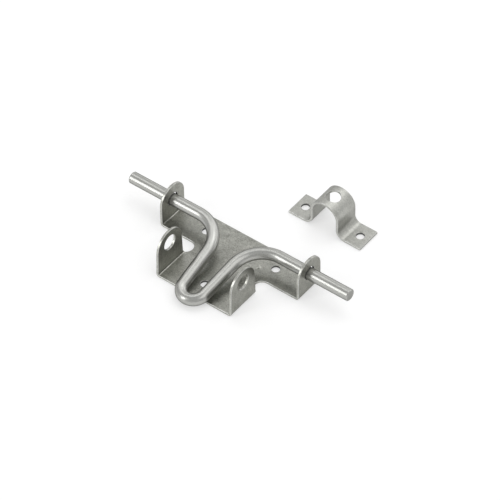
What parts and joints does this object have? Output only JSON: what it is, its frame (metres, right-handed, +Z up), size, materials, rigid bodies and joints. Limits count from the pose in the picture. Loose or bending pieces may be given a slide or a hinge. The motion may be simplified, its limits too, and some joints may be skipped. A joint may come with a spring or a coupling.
{
  "type": "slide-action gate latch",
  "caption": "Folded steel gate latch: a round bolt bent to a looped handle slides in end ears, side ears take a padlock, and a bent strap strike lies beside it.",
  "frame": {"origin": "on the mounting face of the base plate, straight below the bolt's axis and midway between the end ears", "axes": "+X along the bolt to the right, +Y towards the plate's back edge, +Z up from the mounting face"},
  "size_m": [0.203, 0.1457, 0.0362],
  "materials": {
    "base_plate": "satin galvanised, lightly brushed",
    "bolt_rod": "satin galvanised, lightly brushed",
    "strike": "satin galvanised, lightly brushed"
  },
  "bodies": {
    "base": {"base_plate": "base_plate", "strike": "strike"},
    "bolt": {"bolt_rod": "bolt_rod"}
  },
  "joints": [
    {"name": "bolt_slide", "type": "slide", "parent": "base", "child": "bolt", "axis": [1, 0, 0], "range_m": [-0.0163, 0.0163]}
  ]
}
